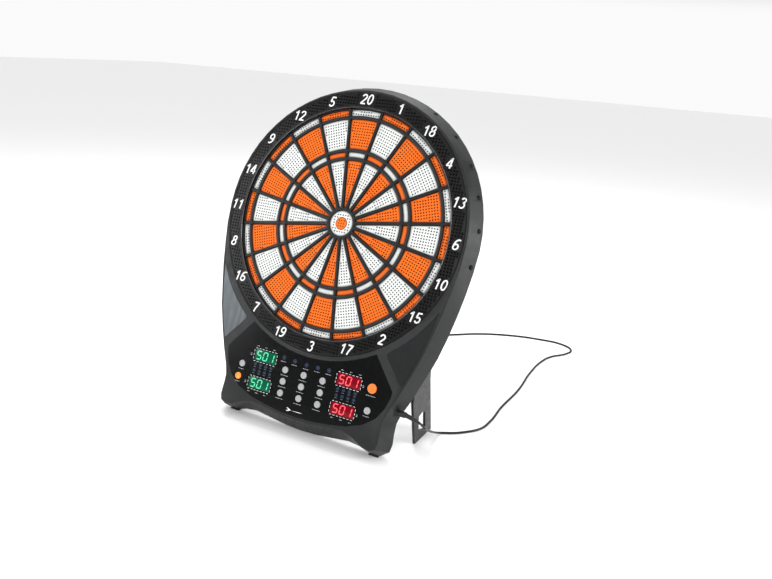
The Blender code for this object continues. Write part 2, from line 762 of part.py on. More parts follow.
def make_feet():
    """Rubber wedges that cradle the casing's low rear edge and lie flat on the floor."""
    _, y, z = on_floor(FOOT_X, -313.2, SPLIT - 1.5)
    section = [
        (y - 3.4, 0.0), (y + 9.1, 0.0), (y + 9.1, z + 3.3), (y + 7.0, z + 3.0), (y + 3.7, z + 0.3), (y, z - 0.7),
        (y - 2.8, z + 0.2),
    ]
    for side, name in ((-1, "rubber_foot_left"), (1, "rubber_foot_right")):
        mesh = moved(slab_mesh(name, [section], -8.0, 8.0), ALONG_X)
        add(name, mesh, "rubber", FLOOR, (side * FOOT_X, 0.0, 0.0))


# ---------------------------------------------------------------- sound and power


def make_speaker():
    profile = ((0.0, 12.0), (8.0, 12.0), (9.0, 6.0), (17.0, 4.0), (17.5, 0.0), (0.0, 0.0))
    turned("speaker", profile, 18, "black_plastic", location=SPEAKER)


def make_jack():
    x, y, z = JACK
    profile = ((0.0, -10.0), (3.0, -10.0), (3.0, 2.2), (4.5, 2.2), (4.5, -14.0), (0.0, -14.0))
    jack = turned("dc_jack", profile, 16, "black_plastic")
    jack.matrix_local = Matrix.Translation((x * MM, y * MM, z * MM)) @ ACROSS


def make_plug():
    """The plug: a barrel in the jack, a grip, and a tapered strain relief that droops to the cord."""
    x, y, z = on_floor(*JACK)
    mouth = x + 2.2
    profile = (
        (0.0, mouth - 9.0), (2.6, mouth - 9.0), (2.6, mouth + 0.4), (4.3, mouth + 0.5), (4.3, mouth + 12.0),
        (3.4, mouth + 13.5), (2.7, PLUG_END[0] - 0.3), (0.0, PLUG_END[0] - 0.3),
    )
    shape = bmesh.new()
    verts = [shape.verts.new((0.0, r, px)) for r, px in profile]
    edges = [shape.edges.new(pair) for pair in zip(verts, verts[1:])]
    axis = (0.0, 0.0, 1.0)
    bmesh.ops.spin(shape, geom=verts + edges, cent=(0, 0, 0), axis=axis, angle=2 * pi, steps=12, use_merge=True)
    bmesh.ops.remove_doubles(shape, verts=shape.verts, dist=1e-4)
    start, drop, drift = mouth + 12.0, PLUG_END[2] - z, PLUG_END[1] - y
    for vert in shape.verts:
        share = max(0.0, (vert.co.z - start) / (PLUG_END[0] - start)) ** 2
        vert.co = (vert.co.z, y + vert.co.x + drift * share, z + vert.co.y + drop * share)
    bmesh.ops.recalc_face_normals(shape, faces=shape.faces)
    mesh = bpy.data.meshes.new("dc_plug")
    shape.to_mesh(mesh)
    shape.free()
    mesh.transform(Matrix.Scale(MM, 4))
    add("dc_plug", round_shaded(mesh), "black_plastic", FLOOR)


def make_cord():
    curve = bpy.data.curves.new("adapter_cord", "CURVE")
    curve.dimensions = "3D"
    curve.bevel_depth = CORD_R * MM
    curve.bevel_resolution = 2
    curve.use_fill_caps = True
    points = smooth(CORD_ROUTE, CORD_STEP)
    spline = curve.splines.new("POLY")
    spline.points.add(len(points) - 1)
    for point, place in zip(spline.points, points):
        point.co = (*(place * MM), 1.0)
    add("adapter_cord", curve, "cord", FLOOR)


def make_coil():
    low, high = 0.1, 0.1 + COIL_HEIGHT
    inner, outer = COIL_R - COIL_HALF_WIDTH, COIL_R + COIL_HALF_WIDTH
    profile = (
        (outer - 1.2, high), (outer, high - 1.8), (outer, low + 1.8), (outer - 1.2, low), (inner + 1.2, low),
        (inner, low + 1.8), (inner, high - 1.8), (inner + 1.2, high),
    )
    turned("cord_coil", profile, 20, "cord", closed=True, parent=FLOOR, location=(*COIL_CENTRE, 0.0))


def make_adapter():
    """The mains adapter on its side, with two pins at one end and a tapered strain relief at the other."""
    width, length, height = ADAPTER_SIZE
    x, y = ADAPTER
    adapter = add("adapter", block((x, y, height / 2 + 0.1), ADAPTER_SIZE), "black_plastic", FLOOR)
    bevel = adapter.modifiers.new("edges", "BEVEL")
    bevel.width = 3.0 * MM
    bevel.segments = 2
    face = y - length / 2
    additions = [block((x + side * 6.3, face - 8.0, height / 2), (1.5, 20.0, 6.3)) for side in (-1, 1)]
    back = y + length / 2
    additions.append(rod(4.5, (x, back - 2.0, 8.0), (x, back + RELIEF_LENGTH, 4.5), 12, 2.4))
    for index, mesh in enumerate(additions):
        other = helper(f"adapter_addition_{index}", mesh)
        other.parent = FLOOR
        boolean(adapter, other, "UNION")


make_front_housing()
make_rear_cover()
make_catch_ring()
make_spider()
make_keys()
make_stack()
make_panel()
make_buttons()
make_speaker()
make_jack()
make_legs()
make_screws()
make_feet()
make_plug()
make_cord()
make_coil()
make_adapter()
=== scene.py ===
"""Looks of the electronic dartboard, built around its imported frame.

Lengths are in millimetres and become metres when a mesh is made. Board coordinates are x across, y up the
board and z out of its face, with the bull at the origin and z = 0 on top of the spider. Floor coordinates
have z = 0 on the floor and the bull above x = 0, y = 0.
"""

from math import asin, ceil, cos, degrees, hypot, pi, radians, sin

import bpy
from mathutils import Matrix, Vector
from mathutils.geometry import delaunay_2d_cdt


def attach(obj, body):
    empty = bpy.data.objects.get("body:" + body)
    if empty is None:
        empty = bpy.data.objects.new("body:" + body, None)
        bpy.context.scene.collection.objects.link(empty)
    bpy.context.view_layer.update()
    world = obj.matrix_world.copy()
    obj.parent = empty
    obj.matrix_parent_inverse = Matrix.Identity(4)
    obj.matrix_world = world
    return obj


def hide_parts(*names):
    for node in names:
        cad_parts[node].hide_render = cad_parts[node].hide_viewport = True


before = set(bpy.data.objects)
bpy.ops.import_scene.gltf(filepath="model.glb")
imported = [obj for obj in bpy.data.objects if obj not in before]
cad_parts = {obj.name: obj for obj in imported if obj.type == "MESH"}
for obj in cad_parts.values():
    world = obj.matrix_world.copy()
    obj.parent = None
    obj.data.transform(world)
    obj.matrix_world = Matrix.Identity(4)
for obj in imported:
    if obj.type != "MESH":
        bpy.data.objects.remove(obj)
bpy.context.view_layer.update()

MM = 0.001
LEAN = 20.0
BULL_HEIGHT = 305.0
BULL_FORWARD = 4.2
FLOOR = Matrix.Translation((0.0, BULL_FORWARD * MM, 0.0))
BOARD = FLOOR @ Matrix.Translation((0.0, 0.0, BULL_HEIGHT * MM)) @ Matrix.Rotation(radians(90.0 - LEAN), 4, "X")

# Playing surface
NUMBERS = (20, 1, 18, 4, 13, 6, 10, 15, 2, 17, 3, 19, 7, 16, 8, 11, 14, 9, 12, 5)
SECTOR = 360.0 / len(NUMBERS)
BULL_RING = 21.5
TREBLE_IN = 97.0
TREBLE_OUT = 109.4
DOUBLE_IN = 159.0
SPIDER_R = 172.2
WALL = 4.4
SPIDER_DEPTH = 8.0
KEY_GAP = 0.4
KEY_TOP = -2.6
KEY_BOTTOM = -10.2
FLANGE_TOP = -8.5
OUTER_BULL_R = 19.0
OUTER_BULL_IN = 9.5
INNER_BULL_R = 8.7
HOLE_PITCH = 4.2
HOLE_R = 1.15
HOLE_EDGE = 0.25
KEY_SKIRT = 0.6
KEY_EDGE = 0.35
KEY_PLATE = 2.4
BULL_SKIRT = 0.9
BULL_EDGE = 0.45

# Catch ring
RING_IN = 172.6
RING_OUT = 195.5
RING_TOP = 3.5
RING_PITCH = 4.6
NUMBER_R = 185.6
DIGIT_HEIGHT = 15.0

# Control panel
OVERLAY_TOP = 3.8
PRINT = 0.06
DISPLAY_X = 72.8
DISPLAY_ROWS = (-219.8, -262.0)
DISPLAY_TOP = 2.6
BUTTON_COLUMNS = {"left": -33.4, "centre": -0.8, "right": 31.8}
BUTTON_ROWS = {"upper": -229.8, "middle": -247.2, "lower": -264.7}
BUTTON_TOP = 5.2
SMALL_BUTTON = 5.0
LARGE_BUTTON = 7.0

# Casing
DART_ANGLES = (60.0, 46.5, 33.0, 20.0, 7.0, -7.0)
DART_HOLE_Z = -16.0
CASING_SLOPE = 0.46
DART_RIM_R = 207.6

# Cord, coil and adapter, in floor coordinates
CORD_R = 1.8
CORD_LIE = 1.9
COIL_CENTRE = (-25.0, 340.0)
COIL_OUTER = 23.6
COIL_INNER = 19.6
ADAPTER = (-48.5, 258.0)
ADAPTER_SIZE = (42.0, 66.0, 28.0)
RELIEF_TIP = 324.8
RELIEF_RIBS = 7
RELIEF_DROOP = 6.8


# ---------------------------------------------------------------- camera and light


CAMERA_TURN = (72.1183, -3.9255, 27.6947)


def make_camera():
    data = bpy.data.cameras.new("camera")
    data.lens = 34.276
    data.sensor_width = 36.0
    camera = bpy.data.objects.new("camera", data)
    bpy.context.scene.collection.objects.link(camera)
    camera.location = (0.5366, -0.9095, 0.5479)
    camera.rotation_euler = [radians(angle) for angle in CAMERA_TURN]
    bpy.context.scene.camera = camera


def softbox(name, location, target, size, power):
    data = bpy.data.lights.new(name, "AREA")
    data.shape = "RECTANGLE"
    data.size, data.size_y = size
    data.energy = power
    light = bpy.data.objects.new(name, data)
    light.location = location
    light.rotation_euler = (Vector(target) - Vector(location)).to_track_quat("-Z", "Y").to_euler()
    bpy.context.scene.collection.objects.link(light)


def make_lights():
    """Four softboxes in a pale studio, which is darker where the glossy front would mirror it."""
    centre = (0.0, 0.0, 0.28)
    softbox("front_light", (0.3, -2.4, 1.3), centre, (1.4, 1.0), 17.0)
    softbox("top_light", (-0.7, 0.9, 1.9), centre, (1.6, 0.9), 28.0)
    softbox("side_light", (2.2, 0.5, 0.8), (0.1, 0.0, 0.3), (0.9, 1.4), 34.0)
    softbox("left_light", (-1.6, -1.5, 0.9), centre, (0.6, 1.0), 13.0)
    world = bpy.data.worlds.new("studio")
    world.use_nodes = True
    nodes, links = world.node_tree.nodes, world.node_tree.links
    background = nodes["Background"]
    height = nodes.new("ShaderNodeSeparateXYZ")
    ramp = nodes.new("ShaderNodeValToRGB")
    links.new(nodes.new("ShaderNodeTexCoord").outputs["Generated"], height.inputs["Vector"])
    links.new(height.outputs["Z"], ramp.inputs["Fac"])
    links.new(ramp.outputs["Color"], background.inputs["Color"])
    ramp.color_ramp.interpolation = "EASE"
    bands = ((0.0, 0.74), (1.0, 0.95), (0.07, 0.74), (0.14, 0.16), (0.44, 0.16), (0.64, 0.95))
    for index, (position, level) in enumerate(bands):
        stop = ramp.color_ramp.elements[index] if index < 2 else ramp.color_ramp.elements.new(position)
        stop.position = position
        stop.color = (level, level, level, 1.0)
    background.inputs["Strength"].default_value = 1.3
    bpy.context.scene.world = world
    bpy.context.scene.view_settings.view_transform = "Standard"


# ---------------------------------------------------------------- outlines


def polar(radius, angle, centre=(0.0, 0.0)):
    return centre[0] + radius * cos(radians(angle)), centre[1] + radius * sin(radians(angle))


def circle(radius, sides, centre=(0.0, 0.0), turn=0.0):
    return [polar(radius, turn + 360.0 * step / sides, centre) for step in range(sides)]


def rectangle(centre, size, corner=0.0, steps=4):
    half_x, half_y = size[0] / 2 - corner, size[1] / 2 - corner
    points = []
    for quarter, (sx, sy) in enumerate(((1, 1), (-1, 1), (-1, -1), (1, -1))):
        place = (centre[0] + sx * half_x, centre[1] + sy * half_y)
        if corner:
            points += [polar(corner, 90.0 * quarter + 90.0 * step / steps, place) for step in range(steps + 1)]
        else:
            points.append(place)
    return points


def area(outline):
    return sum(a[0] * b[1] - b[0] * a[1] for a, b in zip(outline, outline[1:] + outline[:1])) / 2


def shifted_left(outline, distance):
    """The outline with each side moved to the left of its direction, with mitred corners."""
    points = [Vector(point) for point in outline]
    normals = []
    for start, end in zip(points, points[1:] + points[:1]):
        along = (end - start).normalized()
        normals.append(Vector((-along.y, along.x)))
    made = []
    for index, point in enumerate(points):
        before, after = normals[index - 1], normals[index]
        made.append(tuple(point + (before + after) * distance / (1.0 + before.dot(after))))
    return made


def cell(inner, outer, spread):
    """The outline between two radii and two straight walls, each spread away from the sector's edge."""
    points = []
    for radius, order in ((inner, 1), (outer, -1)):
        half = SECTOR / 2 - degrees(asin(spread / radius))
        count = max(2, ceil(half * radius / 60.0))
        points += [polar(radius, 90.0 + order * half * (2.0 * step / count - 1.0)) for step in range(count + 1)]
    return points


BANDS = (
    (BULL_RING, TREBLE_IN),
    (TREBLE_IN, TREBLE_OUT),
    (TREBLE_OUT, DOUBLE_IN),
    (DOUBLE_IN, SPIDER_R + WALL / 2 - 1.4),
)


def bed_outlines(gap):
    """The four cells of one number, from the bull outwards, each smaller all round by gap."""
    wall = WALL / 2 + gap
    return [cell(inner + wall, outer - wall, wall) for inner, outer in BANDS]


def turned_about_bull(outline, angle):
    c, s = cos(radians(angle)), sin(radians(angle))
    return [(x * c - y * s, x * s + y * c) for x, y in outline]


# ---------------------------------------------------------------- meshes


def fill(outlines):
    """Triangles inside an outline and outside its holes, as indices into all of their points."""
    points = [Vector(point) for outline in outlines for point in outline]
    loops = []
    start = 0
    for outline in outlines:
        loops.append(list(range(start, start + len(outline))))
        start += len(outline)
    _, _, faces, origins, _, _ = delaunay_2d_cdt(points, [], loops, 2, 1e-6)
    made = []
    for face in faces:
        corner = [origins[index][0] for index in face]
        upright = area([tuple(points[index]) for index in corner]) > 0
        made.append(corner if upright else corner[::-1])
    return made


class Solid:
    """Points in millimetres and faces, gathered from several shapes, with each face's material index."""

    def __init__(self):
        self.points = []
        self.faces = []
        self.kinds = []

    def add(self, points, faces, kind=0):
        start = len(self.points)
        self.points += points
        self.faces += [[start + index for index in face] for face in faces]
        self.kinds += [kind] * len(faces)

    def plate(self, outer, holes, top, bottom, edge=0.0, hole_edge=0.0, skirt=None, kind=0):
        """A flat solid with rounded top edges. A skirt (width, depth) is a wall that hangs from its rim."""
        outlines = [outer if area(outer) > 0 else outer[::-1]]
        outlines += [hole[::-1] if area(hole) > 0 else hole for hole in holes]
        points, faces = [], []
        lids = {"top": ([], []), "bottom": ([], [])}
        for place, outline in enumerate(outlines):
            round_off = hole_edge if place else edge
            rings = [(outline, bottom)]
            if skirt and not place:
                inside = shifted_left(outline, skirt[0])
                rings = [(outline, skirt[1]), (inside, skirt[1]), (inside, bottom)]
            if round_off:
                for share in (0.0, 0.3, 1.0):
                    rings.insert(0, (shifted_left(outline, round_off * share), top - round_off * (1 - share) ** 2))
            else:
                rings.insert(0, (outline, top))
            start, count = len(points), len(outline)
            for ring, height in rings:
                points += [(x, y, height) for x, y in ring]
            for level in range(len(rings) - 1):
                for index in range(count):
                    here = start + level * count + index
                    after = start + level * count + (index + 1) % count
                    faces.append([here, here + count, after + count, after])
            last = start + (len(rings) - 1) * count
            lids["top"][0].append(rings[0][0])
            lids["top"][1].extend(range(start, start + count))
            lids["bottom"][0].append(rings[-1][0])
            lids["bottom"][1].extend(range(last, last + count))
        rims, indices = lids["top"]
        faces += [[indices[index] for index in face] for face in fill(rims)]
        rims, indices = lids["bottom"]
        faces += [[indices[index] for index in reversed(face)] for face in fill(rims)]
        self.add(points, faces, kind)

    def lathe(self, profile, steps, matrix=Matrix.Identity(4), kind=0, closed=False):
        """A profile of (radius, height), running down its outer side, turned about z."""
        points, faces = [], []
        rings = []
        for radius, height in profile:
            if radius < 1e-6:
                rings.append([len(points)])
                points.append((0.0, 0.0, height))
            else:
                rings.append(list(range(len(points), len(points) + steps)))
                points += [(*point, height) for point in circle(radius, steps)]
        pairs = list(zip(rings, rings[1:] + ([rings[0]] if closed else [])))
        for upper, lower in pairs:
            for index in range(steps):
                after = (index + 1) % steps
                if len(upper) == 1 and len(lower) == 1:
                    continue
                if len(upper) == 1:
                    faces.append([upper[0], lower[index], lower[after]])
                elif len(lower) == 1:
                    faces.append([upper[index], lower[0], upper[after]])
                else:
                    faces.append([upper[index], lower[index], lower[after], upper[after]])
        self.add([tuple(matrix @ Vector(point)) for point in points], faces, kind)

    def object(self, name, materials, body, slot=None, matrix=BOARD, smooth=35.0, replaced=()):
        mesh = bpy.data.meshes.new(name)
        mesh.from_pydata([tuple(matrix @ (Vector(point) * MM)) for point in self.points], [], self.faces)
        for material in materials:
            mesh.materials.append(material)
        mesh.polygons.foreach_set("material_index", self.kinds)
        return placed(name, mesh, body, smooth, replaced)


def placed(name, mesh, body, smooth=35.0, replaced=()):
    """A piece that rides on a body and may stand for frame nodes, which are hidden."""
    mesh.shade_smooth()
    mesh.set_sharp_from_angle(angle=radians(smooth))
    made = bpy.data.objects.new(name, mesh)
    bpy.context.scene.collection.objects.link(made)
    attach(made, body)
    if replaced:
        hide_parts(*replaced)
    return made


# ---------------------------------------------------------------- materials


class Finish:
    """A procedural material: mottled colour, uneven roughness, fine relief and worn edges."""

    def __init__(self, name, colour, roughness, metallic=0.0, mottle=0.12, relief=0.05, grain=900.0, wear=0.25,
                 uneven=0.08, coat=0.0, glow=0.0, glow_colour=None, specular=0.5):
        self.name = name
        self.material = bpy.data.materials.new(name)
        self.material.use_nodes = True
        self.tree = self.material.node_tree
        self.shader = self.tree.nodes["Principled BSDF"]
        self.place = self.node("ShaderNodeTexCoord").outputs["Object"]
        self.set("Metallic", metallic)
        self.set("Coat Weight", coat)
        self.set("Coat Roughness", 0.06)
        self.set("Specular IOR Level", specular)
        dark = [channel * (1.0 - mottle) for channel in colour]
        light = [min(1.0, channel * (1.0 + mottle)) for channel in colour]
        spread = self.noise(22.0, 5.0)
        mixed = self.blend(spread, dark, light)
        if wear:
            worn = [min(1.0, channel * (1.0 + wear) + 0.012 * wear) for channel in colour]
            mixed = self.layer(self.edges(), mixed, worn)
        self.link(mixed, "Base Color")
        self.link(self.ranged(self.noise(140.0, 4.0), roughness - uneven, roughness + uneven), "Roughness")
        self.height = self.noise(grain, 3.0)
        self.bump(relief)
        if glow:
            self.set("Emission Color", (*(glow_colour or colour), 1.0))
            self.set("Emission Strength", glow)

    def node(self, kind, **settings):
        made = self.tree.nodes.new(kind)
        for key, value in settings.items():
            setattr(made, key, value)
        return made

    def set(self, socket, value):
        self.shader.inputs[socket].default_value = value

    def link(self, output, socket):
        self.tree.links.new(output, self.shader.inputs[socket])

    def noise(self, scale, detail):
        made = self.node("ShaderNodeTexNoise")
        made.inputs["Scale"].default_value = scale
        made.inputs["Detail"].default_value = detail
        self.tree.links.new(self.place, made.inputs["Vector"])
        return made.outputs["Fac"]

    def blend(self, factor, first, second):
        made = self.node("ShaderNodeMix", data_type="RGBA")
        self.tree.links.new(factor, made.inputs[0])
        made.inputs[6].default_value = (*first, 1.0)
        made.inputs[7].default_value = (*second, 1.0)
        return made.outputs[2]

    def layer(self, factor, under, colour):
        made = self.node("ShaderNodeMix", data_type="RGBA")
        self.tree.links.new(factor, made.inputs[0])
        self.tree.links.new(under, made.inputs[6])
        made.inputs[7].default_value = (*colour, 1.0)
        return made.outputs[2]

    def ranged(self, value, low, high, start=0.3, end=0.7):
        made = self.node("ShaderNodeMapRange")
        self.tree.links.new(value, made.inputs["Value"])
        made.inputs["From Min"].default_value = start
        made.inputs["From Max"].default_value = end
        made.inputs["To Min"].default_value = low
        made.inputs["To Max"].default_value = high
        return made.outputs["Result"]

    def edges(self):
        pointiness = self.node("ShaderNodeNewGeometry").outputs["Pointiness"]
        return self.ranged(pointiness, 0.0, 1.0, 0.515, 0.58)

    def bump(self, distance):
        made = self.node("ShaderNodeBump")
        made.inputs["Strength"].default_value = 0.6
        made.inputs["Distance"].default_value = distance * MM
        self.tree.links.new(self.height, made.inputs["Height"])
        self.link(made.outputs["Normal"], "Normal")
        self.normal = made

    def shaded(self):
        """Darkens the colour in narrow recesses as painted shade, where the walls beside the keys would shadow them.
        """
        hidden = self.node("ShaderNodeAmbientOcclusion", samples=6)
        hidden.inputs["Distance"].default_value = 7.0 * MM
        reach = self.ranged(hidden.outputs["AO"], 0.25, 1.0, 0.45, 0.97)
        toned = self.node("ShaderNodeMix", data_type="RGBA", blend_type="MULTIPLY")
        toned.inputs[0].default_value = 1.0
        self.tree.links.new(self.shader.inputs["Base Color"].links[0].from_socket, toned.inputs[6])
        self.tree.links.new(reach, toned.inputs[7])
        self.link(toned.outputs[2], "Base Color")
        return self

    def rippled(self, scale, distance):
        """Adds long wavering ripples to the fine relief."""
        wave = self.node("ShaderNodeTexWave", wave_type="BANDS", bands_direction="X")
        wave.inputs["Scale"].default_value = scale
        wave.inputs["Distortion"].default_value = 7.0
        wave.inputs["Detail"].default_value = 1.5
        wave.inputs["Detail Scale"].default_value = 0.7
        self.tree.links.new(self.place, wave.inputs["Vector"])
        second = self.node("ShaderNodeBump")
        second.inputs["Strength"].default_value = 0.9
        second.inputs["Distance"].default_value = distance * MM
        self.tree.links.new(wave.outputs["Fac"], second.inputs["Height"])
        self.tree.links.new(self.normal.outputs["Normal"], second.inputs["Normal"])
        self.link(second.outputs["Normal"], "Normal")
        return self


def make_materials():
    finishes = [
        Finish("casing", (0.0082, 0.0088, 0.0094), 0.42, relief=0.08, grain=1100.0, wear=0.5, mottle=0.10,
               specular=0.30),
        Finish("ring", (0.0030, 0.0030, 0.0033), 0.34, relief=0.01, uneven=0.04, mottle=0.1, wear=0.1, specular=0.20),
        Finish("ring_lip", (0.020, 0.020, 0.022), 0.16, relief=0.004, uneven=0.03, wear=0.0, coat=1.0,
               specular=1.0),
        Finish("spider", (0.0085, 0.0098, 0.0105), 0.38, relief=0.05, wear=0.9, specular=0.22),
        # The keys' colours get painted shade in their recesses.
        Finish("orange_key", (0.93, 0.150, 0.003), 0.46, relief=0.04, mottle=0.08, wear=0.1, specular=0.25).shaded(),
        Finish("white_key", (0.80, 0.82, 0.80), 0.46, relief=0.04, mottle=0.05, wear=0.05, specular=0.3).shaded(),
        Finish("overlay", (0.0022, 0.0024, 0.0026), 0.22, relief=0.008, uneven=0.03, coat=0.10, wear=0.1,
               specular=0.15),
        Finish("accent", (0.085, 0.098, 0.106), 0.40, metallic=0.45, relief=0.02, uneven=0.06).rippled(26.0, 0.14),
        # The right accent insert is the same insert as the left, with painted shade darkening its colour.
        Finish("accent_painted_shade", (0.0075, 0.0082, 0.0086), 0.42, relief=0.02, uneven=0.06,
               specular=0.2).rippled(26.0, 0.25),
        Finish("grey_button", (0.36, 0.36, 0.37), 0.36, relief=0.03, mottle=0.06),
        Finish("orange_button", (0.84, 0.18, 0.025), 0.32, relief=0.02, mottle=0.06, glow=0.18),
        Finish("lit_button", (0.90, 0.24, 0.02), 0.32, relief=0.02, mottle=0.06, glow=0.45),
        Finish("green_display", (0.0, 0.035, 0.018), 0.14, relief=0.01, uneven=0.03, glow=1.0,
               glow_colour=(0.0, 0.075, 0.040), wear=0.0, specular=0.25),
        Finish("red_display", (0.030, 0.0, 0.002), 0.14, relief=0.01, uneven=0.03, glow=1.0,
               glow_colour=(0.21, 0.0, 0.008), wear=0.0, specular=0.25),
        Finish("rubber", (0.012, 0.012, 0.012), 0.78, relief=0.15, grain=700.0, specular=0.3),
        Finish("foam", (0.020, 0.020, 0.021), 0.92, relief=0.4, grain=500.0, mottle=0.25, specular=0.2),
        Finish("film", (0.010, 0.010, 0.011), 0.45, relief=0.02, mottle=0.2, specular=0.2),
        Finish("circuit", (0.018, 0.12, 0.045), 0.42, relief=0.05, mottle=0.2),
        Finish("black_plastic", (0.0055, 0.0055, 0.0060), 0.38, relief=0.07, wear=0.5, specular=0.35),
        Finish("steel", (0.56, 0.56, 0.57), 0.28, metallic=1.0, relief=0.02, uneven=0.07),
        Finish("cord", (0.0045, 0.0045, 0.0048), 0.44, relief=0.06, grain=1500.0, mottle=0.2, specular=0.35),
        Finish("white_print", (0.88, 0.88, 0.88), 0.45, relief=0.01, mottle=0.04, wear=0.0),
        Finish("caption_print", (0.36, 0.37, 0.38), 0.45, relief=0.01, mottle=0.04, wear=0.0),
        Finish("dim_print", (0.12, 0.13, 0.14), 0.45, relief=0.01, mottle=0.06, wear=0.0),
        Finish("blue_print", (0.007, 0.028, 0.080), 0.40, relief=0.01, mottle=0.1, wear=0.0),
        Finish("green_segment", (0.05, 0.4, 0.2), 0.3, relief=0.01, wear=0.0, glow=0.6,
               glow_colour=(0.12, 0.80, 0.42)),
        Finish("red_segment", (0.7, 0.05, 0.06), 0.3, relief=0.01, wear=0.0, glow=0.8,
               glow_colour=(1.0, 0.10, 0.12)),
    ]
    return {finish.name: finish.material for finish in finishes}


make_camera()
make_lights()
M = make_materials()


# ---------------------------------------------------------------- cord, coil, tie and adapter

CORD_ROUTE = (
    (180.6, -67.2, 63.0), (181.6, -66.8, 62.3), (185.2, -63.8, 58.3), (187.2, -58.5, 52.3), (186.5, -50.8, 46.2),
    (184.5, -38.1, 38.4), (180.8, -17.2, 26.0), (177.3, 0.2, 16.1), (175.6, 17.0, 7.0), (178.0, 28.0, 2.4),
    (184.5, 33.2, CORD_LIE), (193.0, 38.5, CORD_LIE), (208.9, 53.2, CORD_LIE), (225.0, 77.0, CORD_LIE),
    (229.5, 106.0, CORD_LIE), (228.0, 167.0, CORD_LIE), (231.0, 246.0, CORD_LIE), (226.0, 338.0, CORD_LIE),
    (228.0, 398.0, CORD_LIE), (237.0, 436.0, CORD_LIE), (258.0, 470.0, CORD_LIE), (262.0, 497.0, CORD_LIE),
    (240.0, 516.0, CORD_LIE),
    (190.0, 515.0, CORD_LIE), (130.0, 497.0, CORD_LIE), (76.0, 466.0, CORD_LIE), (36.0, 430.0, CORD_LIE),
    (6.0, 400.0, CORD_LIE), (-12.0, 380.0, CORD_LIE), (-28.2, 367.6, CORD_LIE),
)
CORD_END = (
    (-48.6, 336.0, 5.2), (-48.6, 330.0, 4.6), (-48.5, 322.0, 4.5), (-48.5, 306.0, 6.2), (-48.5, 288.0, 8.0),
    (-48.5, 262.0, 9.0),
)


def eased(value):
    """A share from 0 to 1 that starts and ends gently."""
    value = min(1.0, max(0.0, value))
    return value * value * (3.0 - 2.0 * value)


def coil_turns():
    """Five turns in two columns and three layers. Each change of place comes before the turn beneath it."""
    bottom, layer = CORD_LIE, 2 * CORD_R + 0.05
    places = [
        (COIL_OUTER, bottom), (COIL_INNER, bottom), (COIL_INNER, bottom + layer), (COIL_INNER, bottom + 2 * layer),
        (COIL_OUTER, bottom + 2 * layer), (COIL_OUTER, bottom + layer),
    ]
    first, last, change = 130.0, 1980.0, 75.0
    starts = (415.0, 700.0, 1060.0, 1345.0, 1630.0)
    points = []
    step = 15.0
    for index in range(int((last - first) / step) + 1):
        angle = first + step * index
        radius, height = places[0]
        for start, (before, after) in zip(starts, zip(places, places[1:])):
            share = eased((angle - start) / change)
            radius += (after[0] - before[0]) * share
            height += (after[1] - before[1]) * share
        points.append((*polar(radius, angle, COIL_CENTRE), height))
    return points


def make_cord():
    curve = bpy.data.curves.new("power_cord", "CURVE")
    curve.dimensions = "3D"
    curve.bevel_depth = CORD_R * MM
    curve.bevel_resolution = 4
    curve.resolution_u = 6
    curve.use_fill_caps = True
    points = list(CORD_ROUTE) + coil_turns() + list(CORD_END)
    spline = curve.splines.new("BEZIER")
    spline.bezier_points.add(len(points) - 1)
    for knot, place in zip(spline.bezier_points, points):
        knot.co = FLOOR @ (Vector(place) * MM)
        knot.handle_left_type = knot.handle_right_type = "AUTO"
    curve.materials.append(M["cord"])
    cord = bpy.data.objects.new("power_cord", curve)
    bpy.context.scene.collection.objects.link(cord)
    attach(cord, "board")
    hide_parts("adapter_cord", "cord_coil")
    return cord


def make_tie():
    """A soft band round the coil's turns."""
    tie = Solid()
    centre_r, half_width, height, thick = (COIL_OUTER + COIL_INNER) / 2, 4.3, 11.4, 0.7
    outer = rectangle((centre_r, height / 2 + 0.05), (2 * half_width + thick, height), 2.0, 6)
    inner = rectangle((centre_r, height / 2 + 0.05), (2 * half_width - thick, height - 1.0), 1.5, 6)
    tie.plate(outer, [inner], 3.0, -3.0, 0.25, 0.25)
    upright = Matrix(((1, 0, 0, 0), (0, 0, -1, 0), (0, 1, 0, 0), (0, 0, 0, 1)))
    bearing = Matrix.Rotation(radians(20.0), 4, "Z")
    place = Matrix.Translation((COIL_CENTRE[0] * MM, COIL_CENTRE[1] * MM, 0.0))
    return tie.object("cord_tie", [M["rubber"]], "board", "rubber", FLOOR @ place @ bearing @ upright)


